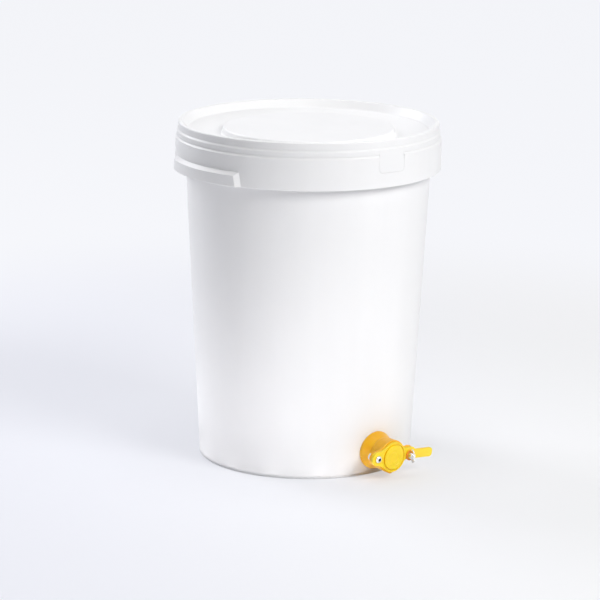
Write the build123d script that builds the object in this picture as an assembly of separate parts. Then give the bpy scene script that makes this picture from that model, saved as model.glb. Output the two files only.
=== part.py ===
from build123d import *
import os
from math import cos, degrees, hypot, radians, sin, sqrt, tan

# Honey settling tank: a tapered plastic pail with a press-on lid and a honey gate low on its front.
# Millimetres, +Z up, origin at the centre of the foot ring, the gate points along -Y.
# Angles round the pail are counted from the gate, -Y, towards +X.

# Pail wall and floor
base_radius = 144.1          # outside of the wall at the foot
wall_taper = 3.0             # degrees that the wall leans outwards
pail_height = 456.6          # foot to the top of the rim
wall = 2.4
floor_thickness = 2.8
floor_bevel = 3.0            # inside, between wall and floor
foot_height = 1.5            # how far the foot ring stands below the floor
foot_width = 12.0
foot_bevel = 1.5             # outside, at the foot

# Rim of the pail
rim_reach = 4.87             # rim outside the line of the wall
rim_lip = 4.5                # height of the rim's upright face

# Collar round the top of the pail
rim_depth = 15.4             # rim top down to the ledge that carries the collar
collar_reach = 11.8          # collar outside the line of the wall
collar_height = 40.9         # upright face
collar_wall = 2.2
shoulder_width = 1.7
shoulder_height = 2.4
rib_count = 12               # places for stiffening ribs behind the collar, the grips stay free
rib_thickness = 2.0
rib_rise = 8.0               # lower end of a rib above the collar's lower edge

# Grip blocks on the collar
grip_angle = 85.0            # one grip, the other is opposite
grip_half_arc = 24.9         # degrees, at half height
grip_height = 19.4
grip_reach = 4.6
grip_ramp = 7.4              # the ends run out over this length
grip_slant = 10.0            # degrees, the ends lean in towards the top

# Lid
lid_wall = 2.2
lid_clearance = 0.4          # between the lid and the pail
seal_thickness = 1.6
crest_width = 5.5            # top of the lid's rim
crest_rounding = 1.4
plug_run = 8.0               # the rim's inner side slopes in by this
moat_depth = 11.0            # rim top to the outer edge of the moat
moat_fall = 8.0              # the moat falls by this towards the pad
pad_radius = 114.5
pad_depth = 9.0              # pad below the rim's top
pad_draft = 2.0
dish_radius = 30.0           # flat middle of a shallow hollow in the pad
dish_depth = 3.0
dish_run = 50.0              # width of the slope round the middle
band_height = 10.0           # upper band of the skirt
band_step = 1.7              # lower band stands out by this
band_slope = 2.4             # height of the slope between the bands

# Pull tab of the lid, in a notch of the collar
tab_angle = -2.6
tab_width = 41.0
tab_drop = 21.3              # below the collar's shoulder
tab_wall = 2.0
tab_corner = 5.0
tab_gap = 0.4
tab_slope = 12.0             # height over which the tab runs into the band

# Gate: hole, spigot and flange
tap_height = 33.0            # where the gate's axis meets the outside of the wall
tap_roll = -4.0              # degrees, the gate is screwed in a little past upright
bore_radius = 15.0
spigot_radius = 20.9
spigot_clearance = 0.3
spigot_end = 2.5             # spigot past the lock nut
flange_radius = 25.9
flange_lip = 1.0             # straight edge in front of the gasket
flange_gap = 0.4             # flange's rim to the wall that it follows
gasket_radius = 23.4
gasket_thickness = 1.5       # where the wall is nearest
gasket_gap = 0.2             # between a gasket and its neighbours
lock_nut_flats = 47.0
lock_nut_height = 9.0
lock_nut_rounding = 1.0

# Gate: nozzle and end plate
nozzle_length = 34.2         # outside of the wall to the end face
waist_radius = 20.4
waist_length = 14.0          # outside of the wall to the waist
waist_rounding = 4.0
boss_radius = 22.0
boss_start = 17.0            # the boss runs from here to the end plate
plate_thickness = 4.5
plate_radius = 22.4
nose_drop = 23.9             # tip of the drip nose below the axis
nose_radius = 4.2
pivot_offset = 28.3          # pivot to the left of the axis
pivot_ear_radius = 9.5
pivot_ear_blend = 25.0       # hollow curve between ear and plate
clamp_offset = 28.3          # clamp bolt to the right of the axis
clamp_ear_radius = 9.7
clamp_ear_rise = 2.7         # middle of the ear above the bolt
clamp_ear_blend = 8.0
groove_inner = 16.6          # seal groove in the end face
groove_width = 3.0
groove_depth = 1.5
groove_clearance = 0.1

# Gate: blade
slide_gap = 0.1              # blade to its neighbours
blade_thickness = 3.5
blade_radius = 20.6
disc_radius = 16.7
disc_height = 1.1
ring_width = 1.0             # groove round the raised disc
ring_depth = 0.9
step_radius = 11.6           # two shallow round steps in the disc
dimple_radius = 7.0
step_depth = 0.3
hook_top = 11.0              # hook above the axis
hook_wall = 5.4              # plate to the right of the slot
hook_corner = 5.0
hook_blend = 6.0
jaw_drop = 7.8               # tip of the left jaw below the axis
slot_clearance = 0.6         # slot round the clamp bolt
handle_end = 69.2            # from the axis
handle_width = 12.5
handle_droop = 1.0           # degrees
handle_rise = 1.2            # middle of the handle above the bolt
handle_corner = 4.5

# Fasteners
bolt_radius = 3.0
running_clearance = 0.06
screw_head_radius = 4.8
screw_head_height = 3.1
screw_head_edge = 1.6
socket_flats = 4.0
socket_depth = 2.4
pivot_washer_radius = 5.8
pivot_washer_thickness = 1.6
nut_flats = 10.0
nut_height = 5.0
bolt_head_height = 4.0
bolt_end = 1.5               # thread past a nut
clamp_washer_radius = 7.1
clamp_washer_thickness = 1.5
hub_base_radius = 4.9
hub_top_radius = 4.1
hub_height = 5.6
wing_tilt = 12.0             # degrees that the wings stand past upright
wing_reach = 9.9             # tip of a wing from the bolt
wing_shoulder = 6.2          # upper corner of a wing from the bolt
wing_top = 8.6               # upper corner above the washer
wing_tip = 4.8               # upper end of the tip above the washer
wing_foot = 1.4              # lower edge of a wing above the washer
wing_root = 4.4              # where a wing's upper edge leaves the hub
wing_thickness = 2.0
wing_rounding = 0.8


def wall_radius(z):
    """Outside radius of the tapered wall at height z."""
    return base_radius + z * tan(radians(wall_taper))


def inner_radius(z):
    """Inside radius of the tapered wall at height z."""
    return wall_radius(z) - wall


# Heights and radii that follow from the driving sizes
floor_top = foot_height + floor_thickness
ledge = pail_height - rim_depth
collar_top = ledge - shoulder_height
collar_bottom = collar_top - collar_height
collar_radius = wall_radius(ledge) + collar_reach
rim_radius = wall_radius(pail_height) + rim_reach

lid_top = pail_height + seal_thickness + lid_wall
skirt_radius = rim_radius + lid_clearance + lid_wall
skirt_bottom = ledge + lid_clearance
crest_radius = skirt_radius - crest_width
moat_radius = crest_radius - plug_run
plug_slope = plug_run / moat_depth
plug_across = hypot(1, plug_slope)
mouth_radius = (crest_radius - (lid_top - pail_height) * plug_slope
                + (lid_wall + lid_clearance) * plug_across)

end_face = nozzle_length
plate_back = end_face - plate_thickness
blade_back = end_face + slide_gap
blade_front = blade_back + blade_thickness
washer_back = blade_front + slide_gap
washer_front = washer_back + clamp_washer_thickness
seat_radius = gasket_radius + gasket_gap
gasket_hole = spigot_radius + spigot_clearance
wall_bow = inner_radius(tap_height) - sqrt(inner_radius(tap_height) ** 2 - gasket_radius ** 2)
lock_nut_face = -(wall + wall_bow + gasket_thickness)
lock_nut_back = lock_nut_face - lock_nut_height

# The gate stands square to the tapered wall: x to the right, y up the wall, z outwards
roll = radians(tap_roll)
taper = radians(wall_taper)
tap_plane = Plane(
    origin=(0, -wall_radius(tap_height), tap_height),
    x_dir=(cos(roll), -sin(roll) * sin(taper), sin(roll) * cos(taper)),
    z_dir=(0, -cos(taper), -sin(taper)),
)


def outline(corners):
    """Closed face from corners of (x, y, rounding)."""
    points = [(x, y) for x, y, rounding in corners]
    radii = [rounding for x, y, rounding in corners]
    return make_face(FilletPolyline(*points, radius=radii, close=True))


def turned(corners):
    """Solid of revolution round Z from corners of (radius, height, rounding)."""
    return revolve(Plane.XZ * outline(corners), Axis.Z)


def sector(corners, angle, arc):
    """Part of a solid of revolution, arc degrees wide and centred on an angle."""
    piece = revolve(Plane.XZ * outline(corners), Axis.Z, arc)
    return Rot(0, 0, angle - 90 - arc / 2) * piece


def plate(face, low, high):
    """Flat plate of a gate part between two distances from the wall."""
    return Pos(0, 0, low) * extrude(face, high - low)


def ring(outer, inner, low, high):
    """Round ring about the gate's axis."""
    return plate(Circle(outer) - Circle(inner), low, high)


def hexagon(flats):
    """Hexagon with a flat side up."""
    return RegularPolygon(flats / 2, 6, major_radius=False)


def arc_degrees(length):
    """Angle that a length covers on the collar's outside."""
    return degrees(length / collar_radius)


def tub():
    """Wall, floor, foot ring and flared rim of the pail."""
    rim_foot = pail_height - rim_lip
    flare_foot = rim_foot - (rim_radius - wall_radius(rim_foot))
    slope = tan(radians(wall_taper))
    mouth_foot = (base_radius - wall - mouth_radius + pail_height * plug_slope) / (plug_slope - slope)
    return turned([
        (0, foot_height, 0),
        (base_radius - foot_width, foot_height, 0),
        (base_radius - foot_width, 0, 0),
        (base_radius - foot_bevel, 0, 0),
        (wall_radius(foot_bevel), foot_bevel, 0),
        (wall_radius(flare_foot), flare_foot, 0),
        (rim_radius, rim_foot, 0),
        (rim_radius, pail_height, 0),
        (mouth_radius, pail_height, 0),
        (inner_radius(mouth_foot), mouth_foot, 0),
        (inner_radius(floor_top + floor_bevel), floor_top + floor_bevel, 0),
        (inner_radius(floor_top) - floor_bevel, floor_top, 0),
        (0, floor_top, 0),
    ])


def collar():
    """Ledge and hanging skirt round the top of the pail."""
    inside = collar_radius - collar_wall
    underside = ledge - collar_wall
    return turned([
        (wall_radius(ledge) - wall / 2, ledge, 0),
        (collar_radius - shoulder_width, ledge, 0),
        (collar_radius, collar_top, 0),
        (collar_radius, collar_bottom, 0),
        (inside, collar_bottom, 0),
        (inside, underside, 0),
        (wall_radius(underside) - wall / 2, underside, 0),
    ])


def grip_end(side):
    """Plane of one sloping end of a grip that faces -Y."""
    angle = radians(side * grip_half_arc)
    outwards = Vector(sin(angle), -cos(angle), 0)
    along = Vector(cos(angle), sin(angle), 0) * side
    normal = along * grip_reach + outwards * grip_ramp
    normal += Vector(0, 0, 1) * (tan(radians(grip_slant)) * grip_reach)
    middle = outwards * collar_radius + Vector(0, 0, collar_bottom + grip_height / 2)
    return Plane(origin=middle, z_dir=normal)


def grip_block():
    """Raised block low on the collar, bevelled along its top and at its ends, facing -Y."""
    grip_top = collar_bottom + grip_height
    root = collar_radius - collar_wall / 2
    block = sector([
        (root, collar_bottom, 0),
        (collar_radius + grip_reach, collar_bottom, 0),
        (collar_radius + grip_reach, grip_top - grip_reach, 0),
        (collar_radius, grip_top, 0),
        (root, grip_top, 0),
    ], 0, 2 * grip_half_arc + arc_degrees(4 * grip_ramp))
    for side in (-1, 1):
        block = split(block, grip_end(side), Keep.BOTTOM)
    return block


def grip_pocket():
    """Room for the fingers behind a grip that faces -Y."""
    inside = collar_radius - collar_wall
    pocket_top = collar_bottom + grip_height - grip_reach - collar_wall
    end_width = grip_ramp + collar_wall + grip_height / 2 * tan(radians(grip_slant))
    return sector([
        (inside - collar_wall, collar_bottom - collar_wall, 0),
        (inside + grip_reach, collar_bottom - collar_wall, 0),
        (inside + grip_reach, pocket_top, 0),
        (inside - collar_wall, pocket_top, 0),
    ], 0, 2 * (grip_half_arc - arc_degrees(end_width)))


def rib(angle):
    """Upright stiffener between the wall and the collar."""
    low = collar_bottom + rib_rise
    high = ledge - collar_wall / 2
    outside = collar_radius - collar_wall / 2
    web = outline([
        (wall_radius(low) - wall / 2, low, 0),
        (outside, low, 0),
        (outside, high, 0),
        (wall_radius(high) - wall / 2, high, 0),
    ])
    return Rot(0, 0, angle - 90) * extrude(Plane.XZ * web, rib_thickness / 2, both=True)


def tab_shape(outer, thickness, top, gap):
    """Upright strip of the collar, as wide as the pull tab and two gaps, with round lower corners."""
    low = collar_top - tab_drop - gap
    strip = sector([
        (outer - thickness, low, 0),
        (outer, low, 0),
        (outer, top, 0),
        (outer - thickness, top, 0),
    ], tab_angle, arc_degrees(tab_width + 2 * gap))
    ends = [edge for edge in strip.edges().filter_by(GeomType.LINE) if edge.center().Z < low + tab_gap]
    return fillet(ends, tab_corner + gap)


def make_pail():
    pail = tub() + collar()
    for turn in range(rib_count):
        offset_angle = (turn + 0.5) * 360 / rib_count
        if abs((offset_angle + 90) % 180 - 90) > grip_half_arc:
            pail += rib(grip_angle + offset_angle)
    for turn in (0, 180):
        pail += Rot(0, 0, grip_angle + turn) * grip_block()
        pail -= Rot(0, 0, grip_angle + turn) * grip_pocket()
    notch_depth = tab_wall + tab_gap
    pail -= tab_shape(collar_radius + tab_gap, notch_depth + tab_gap, ledge + tab_gap, tab_gap)
    hole = plate(Circle(gasket_hole), lock_nut_face, gasket_thickness)
    return pail - tap_plane * hole


def shell_below(line, thickness):
    """Points of a line moved by a thickness to its right hand side, with square joints."""
    moved = []
    for place, point in enumerate(line):
        sides = []
        for first, second in zip(line[max(place - 1, 0):place + 1], line[max(place, 1):place + 2]):
            run = Vector(*second) - Vector(*first)
            sides.append(Vector(run.Y, -run.X) / run.length)
        across = sides[0] + sides[-1]
        moved.append(Vector(*point) + across * (2 * thickness / across.dot(across)))
    return moved


def make_lid():
    pad_top = lid_top - pad_depth
    moat_edge = lid_top - moat_depth
    top_line = [
        (dish_radius, pad_top - dish_depth),
        (dish_radius + dish_run, pad_top),
        (pad_radius, pad_top),
        (pad_radius + pad_draft, moat_edge - moat_fall),
        (moat_radius, moat_edge),
        (crest_radius, lid_top),
        (skirt_radius, lid_top),
        (skirt_radius, skirt_bottom),
    ]
    roundings = [0, 0, 0, 0, 0, 0, crest_rounding, 0]
    under_line = [(point.X, point.Y) for point in shell_below(top_line, lid_wall)]
    upper = [(x, y, rounding) for (x, y), rounding in zip(top_line, roundings)]
    lower = [(x, y, 0) for x, y in reversed(under_line)]
    centre = [(0, under_line[0][1], 0), (0, top_line[0][1], 0)]
    lid = turned(upper + lower + centre)
    band_foot = lid_top - band_height
    lid += turned([
        (skirt_radius - lid_wall, skirt_bottom, 0),
        (skirt_radius + band_step, skirt_bottom, 0),
        (skirt_radius + band_step, band_foot - band_slope, 0),
        (skirt_radius, band_foot, 0),
        (skirt_radius - lid_wall, band_foot, 0),
    ])
    return lid + pull_tab()


def pull_tab():
    """Tab that hangs from the lid's lower band and lies flush with the collar."""
    tab = tab_shape(collar_radius, tab_wall, collar_top, 0)
    face = skirt_radius + band_step
    tab_foot = collar_top - tab_slope / 2
    tab += sector([
        (collar_radius - tab_wall, tab_foot, 0),
        (collar_radius, tab_foot, 0),
        (face, tab_foot + tab_slope, 0),
        (skirt_radius, tab_foot + tab_slope, 0),
        (skirt_radius, skirt_bottom, 0),
        (collar_radius - tab_wall, skirt_bottom, 0),
    ], tab_angle, arc_degrees(tab_width))
    return tab


def make_lid_seal():
    top = pail_height + seal_thickness
    seal_inner = mouth_radius + seal_thickness * plug_slope
    return turned([
        (seal_inner, pail_height, 0),
        (rim_radius, pail_height, 0),
        (rim_radius, top, 0),
        (seal_inner, top, 0),
    ])


def make_outer_gasket():
    washer = ring(gasket_radius, gasket_hole, -2 * wall_bow, gasket_thickness)
    return tap_plane * washer - tub_core(-gasket_gap)


def make_inner_gasket():
    washer = ring(gasket_radius, gasket_hole, lock_nut_face, 0)
    return tap_plane * washer & tub_core(wall + gasket_gap)


def tub_core(inset):
    """Solid cone inside the wall, inset from the wall's outside, over the height of the gate."""
    top = 2 * (tap_height + flange_radius)
    return turned([
        (0, 0, 0),
        (wall_radius(0) - inset, 0, 0),
        (wall_radius(top) - inset, top, 0),
        (0, top, 0),
    ])


def make_lock_nut():
    face = fillet(hexagon(lock_nut_flats).vertices(), lock_nut_rounding)
    nut = plate(face - Circle(spigot_radius + groove_clearance), lock_nut_back, lock_nut_face)
    return tap_plane * nut


def add_ear(face, x, y, radius, blend):
    """Flat outline with a round ear, joined to it by hollow curves."""
    face += Pos(x, y) * Circle(radius)
    corners = [vertex for vertex in face.vertices() if 0 < vertex.X / x < 1]
    return fillet(corners, blend)


def end_plate():
    """Outline of the end plate: two ears and a drip nose."""
    face = add_ear(Circle(plate_radius), -pivot_offset, 0, pivot_ear_radius, pivot_ear_blend)
    face = add_ear(face, clamp_offset, clamp_ear_rise, clamp_ear_radius, clamp_ear_blend)
    tip = Pos(0, nose_radius - nose_drop) * Circle(nose_radius)
    return face + make_hull(Circle(plate_radius).edges() + tip.edges())


def make_tap_body():
    flange_front = gasket_thickness + flange_lip
    tail = lock_nut_back - spigot_end
    body = turned([
        (bore_radius, tail, 0),
        (spigot_radius, tail, 0),
        (spigot_radius, gasket_thickness, 0),
        (flange_radius, gasket_thickness, 0),
        (flange_radius, flange_front, 0),
        (waist_radius, waist_length, waist_rounding),
        (boss_radius, boss_start, 0),
        (boss_radius, end_face, 0),
        (bore_radius, end_face, 0),
    ])
    body += plate(end_plate() - Circle(bore_radius), plate_back, end_face)
    body -= ring(groove_inner + groove_width, groove_inner, end_face - groove_depth, end_face)
    for place in (-pivot_offset, clamp_offset):
        body -= plate(Pos(place, 0) * Circle(bolt_radius + running_clearance), plate_back, end_face)
    rim = tap_plane * ring(flange_radius, seat_radius, -2 * wall_bow, gasket_thickness)
    return tap_plane * body + (rim - tub_core(-flange_gap))


def make_gate_seal():
    outer = groove_inner + groove_width - groove_clearance
    return tap_plane * ring(outer, groove_inner + groove_clearance, end_face - groove_depth, end_face)


def hook_slot():
    """Slot open downwards, an arc about the pivot that lets the blade swing clear of the clamp bolt."""
    reach = pivot_offset + clamp_offset
    turn = degrees(2 * jaw_drop / reach)
    path = Pos(-pivot_offset, 0) * CenterArc((0, 0), reach, 0, -turn)
    return SlotArc(path, 2 * (bolt_radius + slot_clearance))


def handle():
    """Bar with a rounded end, from the clamp bolt to the right."""
    length = handle_end - clamp_offset
    bar = Pos(length / 2, 0) * Rectangle(length, handle_width)
    bar = fillet(bar.vertices().group_by(Axis.X)[-1], handle_corner)
    return Pos(clamp_offset, handle_rise) * Rot(0, 0, -handle_droop) * bar


def blade_outline():
    """Round plate with the pivot's ear, a hook over the clamp bolt and the handle."""
    face = add_ear(Circle(blade_radius), -pivot_offset, 0, pivot_ear_radius, pivot_ear_blend)
    hook_end = clamp_offset + bolt_radius + slot_clearance + hook_wall
    jaw_tip = sqrt(blade_radius ** 2 - jaw_drop ** 2)
    face += outline([
        (0, -jaw_drop, 0),
        (jaw_tip, -jaw_drop, 0),
        (jaw_tip + jaw_drop, 0, 0),
        (hook_end, 0, 0),
        (hook_end, hook_top, hook_corner),
        (0, hook_top, 0),
    ])
    corner = [v for v in face.vertices() if abs(v.Y - hook_top) < slide_gap and v.X < blade_radius]
    face = fillet(corner, hook_blend)
    face += handle()
    face -= hook_slot()
    return face - Pos(-pivot_offset, 0) * Circle(bolt_radius + running_clearance)


def make_blade():
    disc_front = blade_front + disc_height
    blade = plate(blade_outline(), blade_back, blade_front)
    blade -= ring(disc_radius + ring_width, disc_radius, blade_front - ring_depth, blade_front)
    blade += plate(Circle(disc_radius), blade_front, disc_front)
    blade -= plate(Circle(step_radius), disc_front - step_depth, disc_front)
    blade -= plate(Circle(dimple_radius), disc_front - 2 * step_depth, disc_front)
    return tap_plane * blade


def make_pivot_screw():
    seat = blade_front + slide_gap
    top = seat + screw_head_height
    tail = plate_back - pivot_washer_thickness - nut_height - bolt_end
    screw = turned([
        (0, tail, 0),
        (bolt_radius, tail, 0),
        (bolt_radius, seat, 0),
        (screw_head_radius, seat, 0),
        (screw_head_radius, top, screw_head_edge),
        (0, top, 0),
    ])
    screw -= plate(hexagon(socket_flats), top - socket_depth, top)
    return tap_plane * (Pos(-pivot_offset, 0) * screw)


def make_pivot_washer():
    washer = ring(pivot_washer_radius, bolt_radius + running_clearance,
                  plate_back - pivot_washer_thickness, plate_back)
    return tap_plane * (Pos(-pivot_offset, 0) * washer)


def make_pivot_nut():
    high = plate_back - pivot_washer_thickness
    nut = plate(hexagon(nut_flats) - Circle(bolt_radius + running_clearance), high - nut_height, high)
    return tap_plane * (Pos(-pivot_offset, 0) * nut)


def make_clamp_bolt():
    head = plate(hexagon(nut_flats), plate_back - bolt_head_height, plate_back)
    shank = plate(Circle(bolt_radius), plate_back, washer_front + hub_height + bolt_end)
    return tap_plane * (Pos(clamp_offset, 0) * (head + shank))


def make_clamp_washer():
    washer = ring(clamp_washer_radius, bolt_radius + running_clearance, washer_back, washer_front)
    return tap_plane * (Pos(clamp_offset, 0) * washer)


def make_wing_nut():
    hub = turned([
        (0, 0, 0),
        (hub_base_radius, 0, 0),
        (hub_top_radius, hub_height, 0),
        (0, hub_height, 0),
    ])
    wing = outline([
        (0, wing_foot, 0),
        (hub_base_radius, wing_foot, 0),
        (wing_reach, wing_tip - wing_foot, wing_rounding),
        (wing_reach, wing_tip, wing_rounding),
        (wing_shoulder, wing_top, wing_rounding),
        (hub_top_radius, wing_root, 0),
        (0, wing_root, 0),
    ])
    wing = extrude(Plane.YZ * wing, wing_thickness / 2, both=True)
    nut = Rot(0, 0, wing_tilt) * (hub + wing + Rot(0, 0, 180) * wing)
    nut -= plate(Circle(bolt_radius + running_clearance), 0, hub_height)
    return tap_plane * (Pos(clamp_offset, 0, washer_front) * nut)


nodes = {
    "pail": make_pail,
    "lid": make_lid,
    "lid_seal": make_lid_seal,
    "tap_outer_gasket": make_outer_gasket,
    "tap_inner_gasket": make_inner_gasket,
    "tap_lock_nut": make_lock_nut,
    "tap_body": make_tap_body,
    "gate_seal": make_gate_seal,
    "gate_blade": make_blade,
    "pivot_screw": make_pivot_screw,
    "pivot_washer": make_pivot_washer,
    "pivot_nut": make_pivot_nut,
    "clamp_bolt": make_clamp_bolt,
    "clamp_washer": make_clamp_washer,
    "wing_nut": make_wing_nut,
}

os.makedirs("parts", exist_ok=True)
for name, make in nodes.items():
    export_step(make(), os.path.join("parts", name + ".step"))
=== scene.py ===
# %% [markdown]
# # A honey settling tank
# Fresh honey stands in a tank like this for a few days, until its bubbles and wax have risen, and is then
# drawn off through the gate at the foot. The tank is a white plastic pail with a press-on lid. The gate
# is a yellow plastic spout with a blade that swings aside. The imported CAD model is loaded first: every
# piece below takes its place.

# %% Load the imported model
import math

import bpy
from mathutils import Matrix, Vector


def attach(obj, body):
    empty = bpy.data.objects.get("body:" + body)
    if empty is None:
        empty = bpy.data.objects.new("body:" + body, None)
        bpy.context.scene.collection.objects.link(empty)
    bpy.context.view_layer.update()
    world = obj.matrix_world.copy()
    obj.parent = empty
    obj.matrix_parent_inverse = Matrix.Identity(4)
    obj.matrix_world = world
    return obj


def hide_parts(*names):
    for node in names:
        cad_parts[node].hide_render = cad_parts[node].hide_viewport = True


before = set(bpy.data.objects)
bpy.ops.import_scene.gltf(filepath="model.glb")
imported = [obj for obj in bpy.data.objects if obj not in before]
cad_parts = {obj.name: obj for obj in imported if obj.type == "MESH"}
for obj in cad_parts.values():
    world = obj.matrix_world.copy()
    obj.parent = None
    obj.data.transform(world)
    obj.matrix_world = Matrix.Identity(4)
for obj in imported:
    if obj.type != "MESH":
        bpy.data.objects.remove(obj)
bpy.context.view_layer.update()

MM = 0.001
scene = bpy.context.scene
scene.view_settings.view_transform = "Standard"
print("CAD nodes:", ", ".join(sorted(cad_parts)))

# %% [markdown]
# ## The camera
# A photograph of a round pail gives its own viewing angle away: the ellipses of the rim and the foot say
# how high the lens is, and their difference says how far off it stands. The camera was worked out from
# those, in millimetres, and is turned about the pail's axis until the gate points the right way.

# %% Camera at the photograph's angle
photo_side = 600
focal_pixels = 3161.1
camera_azimuth = math.radians(-40.5)
camera_distance = 4190.8
camera_height = 1195.6
camera_pitch = 0.2306
camera_yaw = -0.0021
camera_roll = 0.0121

bpy.ops.object.camera_add()
camera = bpy.context.object
camera.data.sensor_width = 36
camera.data.lens = focal_pixels / photo_side * camera.data.sensor_width
camera.data.clip_end = 50
forward = Vector((
    math.sin(camera_yaw) * math.cos(camera_pitch),
    math.cos(camera_yaw) * math.cos(camera_pitch),
    -math.sin(camera_pitch),
))
level = Vector((math.cos(camera_yaw), -math.sin(camera_yaw), 0))
upright = level.cross(forward)
across = math.cos(camera_roll) * level + math.sin(camera_roll) * upright
above = across.cross(forward)
axes = Matrix((across, above, -forward)).transposed().to_4x4()
stand = Matrix.Translation(Vector((0, -camera_distance, camera_height)) * MM)
camera.matrix_world = Matrix.Rotation(camera_azimuth, 4, "Z") @ stand @ axes
scene.camera = camera
print("lens", round(camera.data.lens, 1), "mm")

# %% [markdown]
# ## Shader maths
# A material is a small sum: a colour, plus a little noise, times a mask. Written with nodes such a sum is
# a tangle, so a socket is wrapped in a class that knows the arithmetic signs. Each sign adds one Math
# node.


# %% A socket that can be added and multiplied
class Wire:
    """One output socket of a finish, for use in Python expressions."""

    def __init__(self, finish, socket):
        self.finish = finish
        self.socket = socket

    def maths(self, operation, first, second):
        return self.finish.node("ShaderNodeMath", {"operation": operation}, {0: first, 1: second})

    def __add__(self, other):
        return self.maths("ADD", self, other)

    def __radd__(self, other):
        return self.maths("ADD", other, self)

    def __sub__(self, other):
        return self.maths("SUBTRACT", self, other)

    def __rsub__(self, other):
        return self.maths("SUBTRACT", other, self)

    def __mul__(self, other):
        return self.maths("MULTIPLY", self, other)

    def __rmul__(self, other):
        return self.maths("MULTIPLY", other, self)


class Finish:
    """A procedural material, with one method that adds any node."""

    def __init__(self, name):
        self.material = bpy.data.materials.new(name)
        self.material.use_nodes = True
        self.tree = self.material.node_tree
        self.shader = self.tree.nodes["Principled BSDF"]
        self.place = self.node("ShaderNodeTexCoord", {}, {}, "Object")

    def node(self, kind, settings, inputs, output=0):
        """Add a node: its settings come first, then the values or links of its sockets."""
        made = self.tree.nodes.new(kind)
        for key, value in settings.items():
            setattr(made, key, value)
        for key, value in inputs.items():
            self.feed(made.inputs[key], value)
        return Wire(self, made.outputs[output])

    def feed(self, socket, value):
        if isinstance(value, Wire):
            self.tree.links.new(value.socket, socket)
        else:
            socket.default_value = value

    def surface(self, **sockets):
        """Feed the shader's sockets, named with underscores for spaces."""
        for key, value in sockets.items():
            self.feed(self.shader.inputs[key.replace("_", " ")], value)

    def noise(self, scale, detail=2.0, stretch=(1, 1, 1)):
        """Soft noise in the object's own space, with scale in features per metre."""
        where = self.node("ShaderNodeMapping", {}, {"Vector": self.place, "Scale": stretch})
        return self.node("ShaderNodeTexNoise", {}, {"Vector": where, "Scale": scale, "Detail": detail})

    def mix(self, share, first, second):
        """Mix of two colours, whose sockets on the Mix node are 6 and 7, with the result on 2."""
        settings = {"data_type": "RGBA"}
        return self.node("ShaderNodeMix", settings, {0: share, 6: first, 7: second}, 2)

    def between(self, value, low, high):
        """Value mapped from low..high to a smooth 0..1."""
        settings = {"interpolation_type": "SMOOTHSTEP"}
        sockets = {"Value": value, "From Min": low, "From Max": high}
        return self.node("ShaderNodeMapRange", settings, sockets)

    def seen(self):
        """1 where the camera looks straight, by way of a gloss or through a clear piece."""
        rays = ("Is Camera Ray", "Is Glossy Ray", "Is Transmission Ray")
        straight, gloss, clear = [self.node("ShaderNodeLightPath", {}, {}, ray) for ray in rays]
        return straight + gloss + clear

    def bump(self, height, strength, distance):
        """Bent normals from a height, with the distance in metres."""
        sockets = {"Height": height, "Strength": strength, "Distance": distance}
        return self.node("ShaderNodeBump", {}, sockets)


# %% [markdown]
# ## White plastic
# The pail and lid are moulded in white polypropylene: not quite neutral, satin, with an orange-peel skin
# too fine to see as bumps. Its hardly visible streaks run the way the plastic flowed, up the wall.
# Handling leaves a few faint scuffs, most of them near the foot, where the pail is set down. One noise
# alone would look like marble, so several scales are mixed and kept faint.

# %% White plastic
def white_plastic():
    made = Finish("white_plastic")
    height = made.node("ShaderNodeSeparateXYZ", {}, {0: made.place}, "Z")
    flow = made.noise(26, 3, (1, 1, 0.06))
    cloud = made.noise(9)
    scratch = made.between(made.noise(240, 6, (1, 1, 3)), 0.62, 0.78)
    low = 1 - made.between(height, 0.0, 0.05)
    scuff = scratch * (0.12 + 0.6 * low)
    tone = 0.55 * flow + 0.45 * cloud
    streaks = made.between(tone, 0.25, 0.75)
    clean = made.mix(streaks, (0.868, 0.868, 0.872, 1), (0.896, 0.896, 0.898, 1))
    color = made.mix(scuff, clean, (0.78, 0.78, 0.775, 1))
    peel = made.noise(1500, 2)
    made.surface(
        Base_Color=color,
        Roughness=0.36 + 0.1 * cloud + 0.18 * scuff,
        Normal=made.bump(0.7 * peel + 0.3 * flow, 0.12, 0.0004),
        IOR=1.49,
        Subsurface_Weight=0.12,
        Subsurface_Radius=(1.0, 0.95, 0.9),
        Subsurface_Scale=0.003,
    )
    return made.material


# %% [markdown]
# ## Yellow plastic
# The blade is moulded in a clear yellow and the body behind it in a deeper amber. The plastic lets a
# little light in, more red than green, so thin edges and grooves turn orange and not brown: some
# subsurface scattering with a short path does that. The faces are glossy, with a slightly uneven skin.

# %% Yellow plastic, and a darker orange copy of it for the washer, in painted shade
def amber_plastic(name, bright, deep, gloss):
    made = Finish(name)
    swirl = made.noise(70, 4, (1, 1, 2))
    grain = made.noise(2600, 2)
    worn = made.between(made.noise(900, 5), 0.64, 0.8)
    body = made.mix(made.between(swirl, 0.3, 0.7), bright, deep)
    color = made.mix(0.1 * worn, body, (1.0, 0.8, 0.35, 1))
    made.surface(
        Base_Color=color,
        Roughness=gloss + 0.12 * swirl + 0.1 * worn,
        Normal=made.bump(0.6 * grain + 0.4 * swirl, 0.1, 0.0003),
        IOR=1.5,
        Subsurface_Weight=0.25,
        Subsurface_Radius=(1.0, 0.35, 0.05),
        Subsurface_Scale=0.002,
    )
    return made.material
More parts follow.
